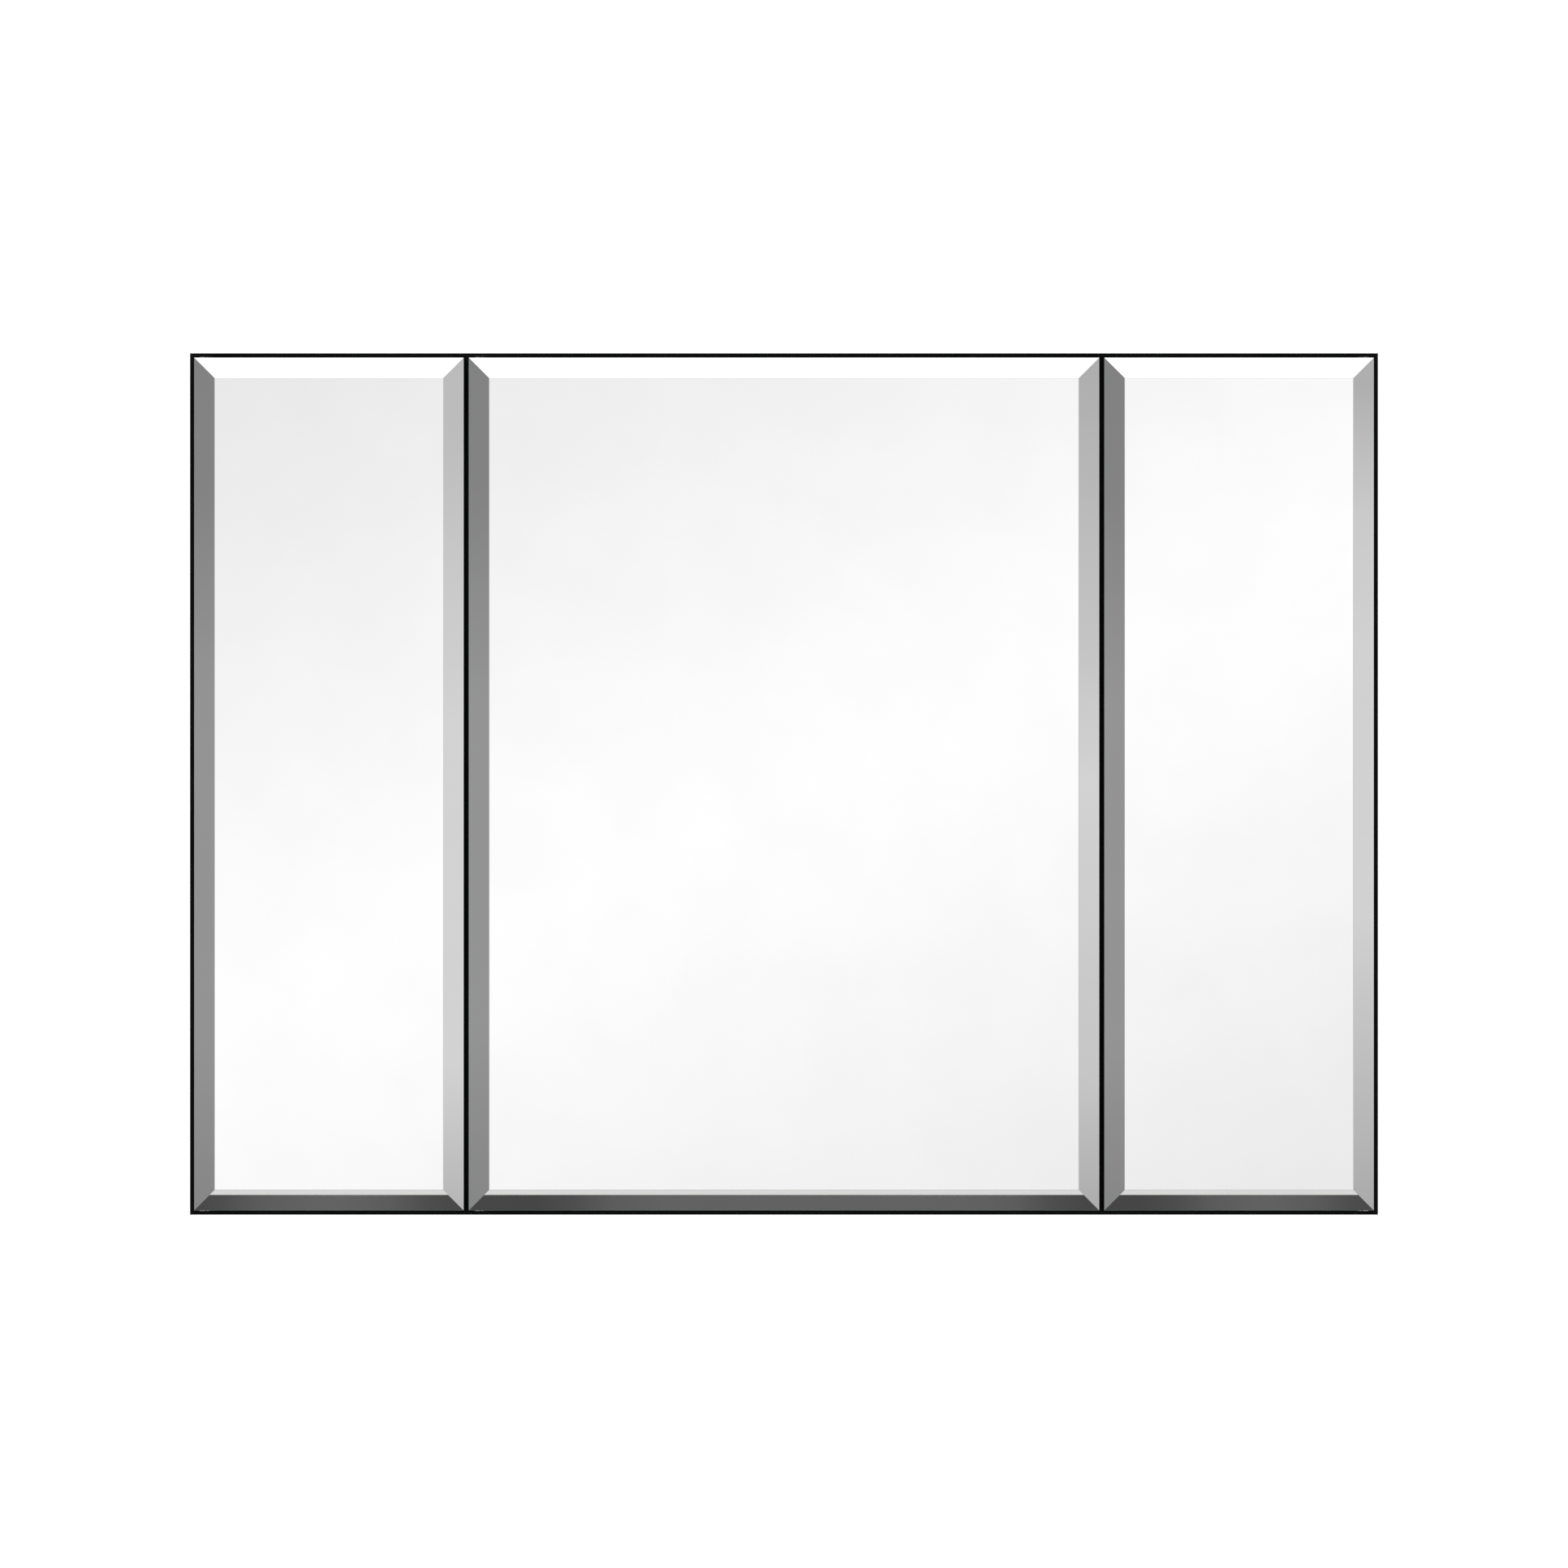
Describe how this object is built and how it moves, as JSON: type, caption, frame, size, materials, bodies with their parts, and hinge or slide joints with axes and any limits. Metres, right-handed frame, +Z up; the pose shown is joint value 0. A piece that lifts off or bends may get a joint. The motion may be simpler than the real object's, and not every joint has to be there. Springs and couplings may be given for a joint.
{
  "type": "medicine cabinet with mirror",
  "caption": "Shallow wall cabinet for a bathroom: bevelled mirror doors with thin black edges, hinged on pivot brackets, over bays with glass shelves.",
  "frame": {"origin": "centre of the back panel's rear face, where it meets the wall", "axes": "+X to the viewer's right along the width, +Y from the mirrors into the wall, +Z up"},
  "size_m": [0.924, 0.133, 0.67],
  "materials": {
    "satin_aluminium": "satin anodised",
    "black_aluminium": "black anodised, satin",
    "bevelled_mirror": "silvered glass, polished bevelled edge",
    "flat_mirror": "silvered glass",
    "shelf_glass": "clear toughened glass, polished edges",
    "nickel_plate": "nickel plated",
    "zinc_steel": "zinc plated",
    "rivet_aluminium": "bright",
    "black_nylon": "moulded, fine texture",
    "white_acetal": "moulded, smooth",
    "ferrite": "ground ferrite",
    "clear_rubber": "soft, translucent",
    "core_board": "pressed board"
  },
  "bodies": {
    "cabinet": {"back_panel": "satin_aluminium", "top_panel": "satin_aluminium", "bottom_panel": "satin_aluminium", "left_side_panel": "satin_aluminium", "right_side_panel": "satin_aluminium", "corner_angles": "satin_aluminium", "hanging_rails": "satin_aluminium", "rail_flanges": "satin_aluminium", "left_partition": "satin_aluminium", "right_partition": "satin_aluminium", "frame_rails": "black_aluminium", "frame_stiles": "black_aluminium", "mullions": "black_aluminium", "frame_corner_keys": "black_nylon", "rivets": "rivet_aluminium", "left_back_mirror": "flat_mirror", "left_lower_shelf": "shelf_glass", "left_upper_shelf": "shelf_glass", "centre_back_mirror": "flat_mirror", "centre_lower_shelf": "shelf_glass", "centre_upper_shelf": "shelf_glass", "right_back_mirror": "flat_mirror", "right_lower_shelf": "shelf_glass", "right_upper_shelf": "shelf_glass", "shelf_pins": "nickel_plate", "pivot_brackets": "nickel_plate", "pivot_pins": "zinc_steel", "frame_screws": "zinc_steel", "catch_housings": "white_acetal", "catch_magnets": "ferrite"},
    "left_door": {"left_door_mirror": "bevelled_mirror", "left_door_hinge_stile": "black_aluminium", "left_door_free_stile": "black_aluminium", "left_door_rails": "black_aluminium", "left_door_corner_keys": "black_nylon", "left_door_core": "core_board", "left_door_rear_mirror": "flat_mirror", "left_door_pivot_bushes": "white_acetal", "left_door_bumpers": "clear_rubber", "left_door_strike_plate": "zinc_steel"},
    "centre_door": {"centre_door_mirror": "bevelled_mirror", "centre_door_hinge_stile": "black_aluminium", "centre_door_free_stile": "black_aluminium", "centre_door_rails": "black_aluminium", "centre_door_corner_keys": "black_nylon", "centre_door_core": "core_board", "centre_door_rear_mirror": "flat_mirror", "centre_door_pivot_bushes": "white_acetal", "centre_door_bumpers": "clear_rubber", "centre_door_strike_plate": "zinc_steel"},
    "right_door": {"right_door_mirror": "bevelled_mirror", "right_door_hinge_stile": "black_aluminium", "right_door_free_stile": "black_aluminium", "right_door_rails": "black_aluminium", "right_door_corner_keys": "black_nylon", "right_door_core": "core_board", "right_door_rear_mirror": "flat_mirror", "right_door_pivot_bushes": "white_acetal", "right_door_bumpers": "clear_rubber", "right_door_strike_plate": "zinc_steel"}
  },
  "joints": [
    {"name": "left_door_hinge", "type": "hinge", "parent": "cabinet", "child": "left_door", "pos_m": [-0.4517, -0.125, 0], "axis": [0, 0, -1], "range_deg": [0, 105]},
    {"name": "centre_door_hinge", "type": "hinge", "parent": "cabinet", "child": "centre_door", "pos_m": [-0.2383, -0.125, 0], "axis": [0, 0, -1], "range_deg": [0, 90]},
    {"name": "right_door_hinge", "type": "hinge", "parent": "cabinet", "child": "right_door", "pos_m": [0.4517, -0.125, 0], "axis": [0, 0, 1], "range_deg": [0, 105]}
  ]
}
